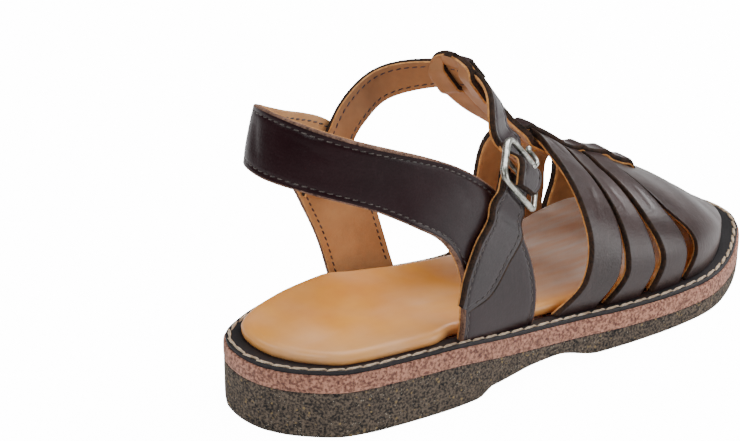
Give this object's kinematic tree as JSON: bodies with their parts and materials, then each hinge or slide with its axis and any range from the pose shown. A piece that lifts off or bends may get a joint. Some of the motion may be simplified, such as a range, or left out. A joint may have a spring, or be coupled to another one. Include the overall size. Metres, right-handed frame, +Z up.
{
  "type": "child's T-bar sandal",
  "caption": "Child's leather sandal for the right foot, with woven vamp straps, a T-bar, a buckled ankle strap, a heel strap and a stitched welted sole.",
  "frame": {"origin": "on the floor, under the middle of the sole", "axes": "+Y to the toe, +X to the outer side where the buckle is, +Z up"},
  "size_m": [0.0767, 0.2, 0.0971],
  "materials": {
    "outsole": "matt dark grey-brown crepe with tan flecks",
    "midsole": "raw pinkish-brown suede-like cut edge",
    "rand": "dark brown welt with cream stitches",
    "insole": "smooth tan leather",
    "upper": "polished dark brown leather, tan lining",
    "metal": "worn silver-grey plated wire"
  },
  "bodies": {
    "root": {"outsole": "outsole", "midsole": "midsole", "rand": "rand", "insole": "insole", "vamp_straps": "upper", "heel_strap": "upper", "ankle_strap": "upper", "buckle_strap": "upper", "buckle_frame": "metal", "buckle_prong": "metal"}
  },
  "joints": []
}
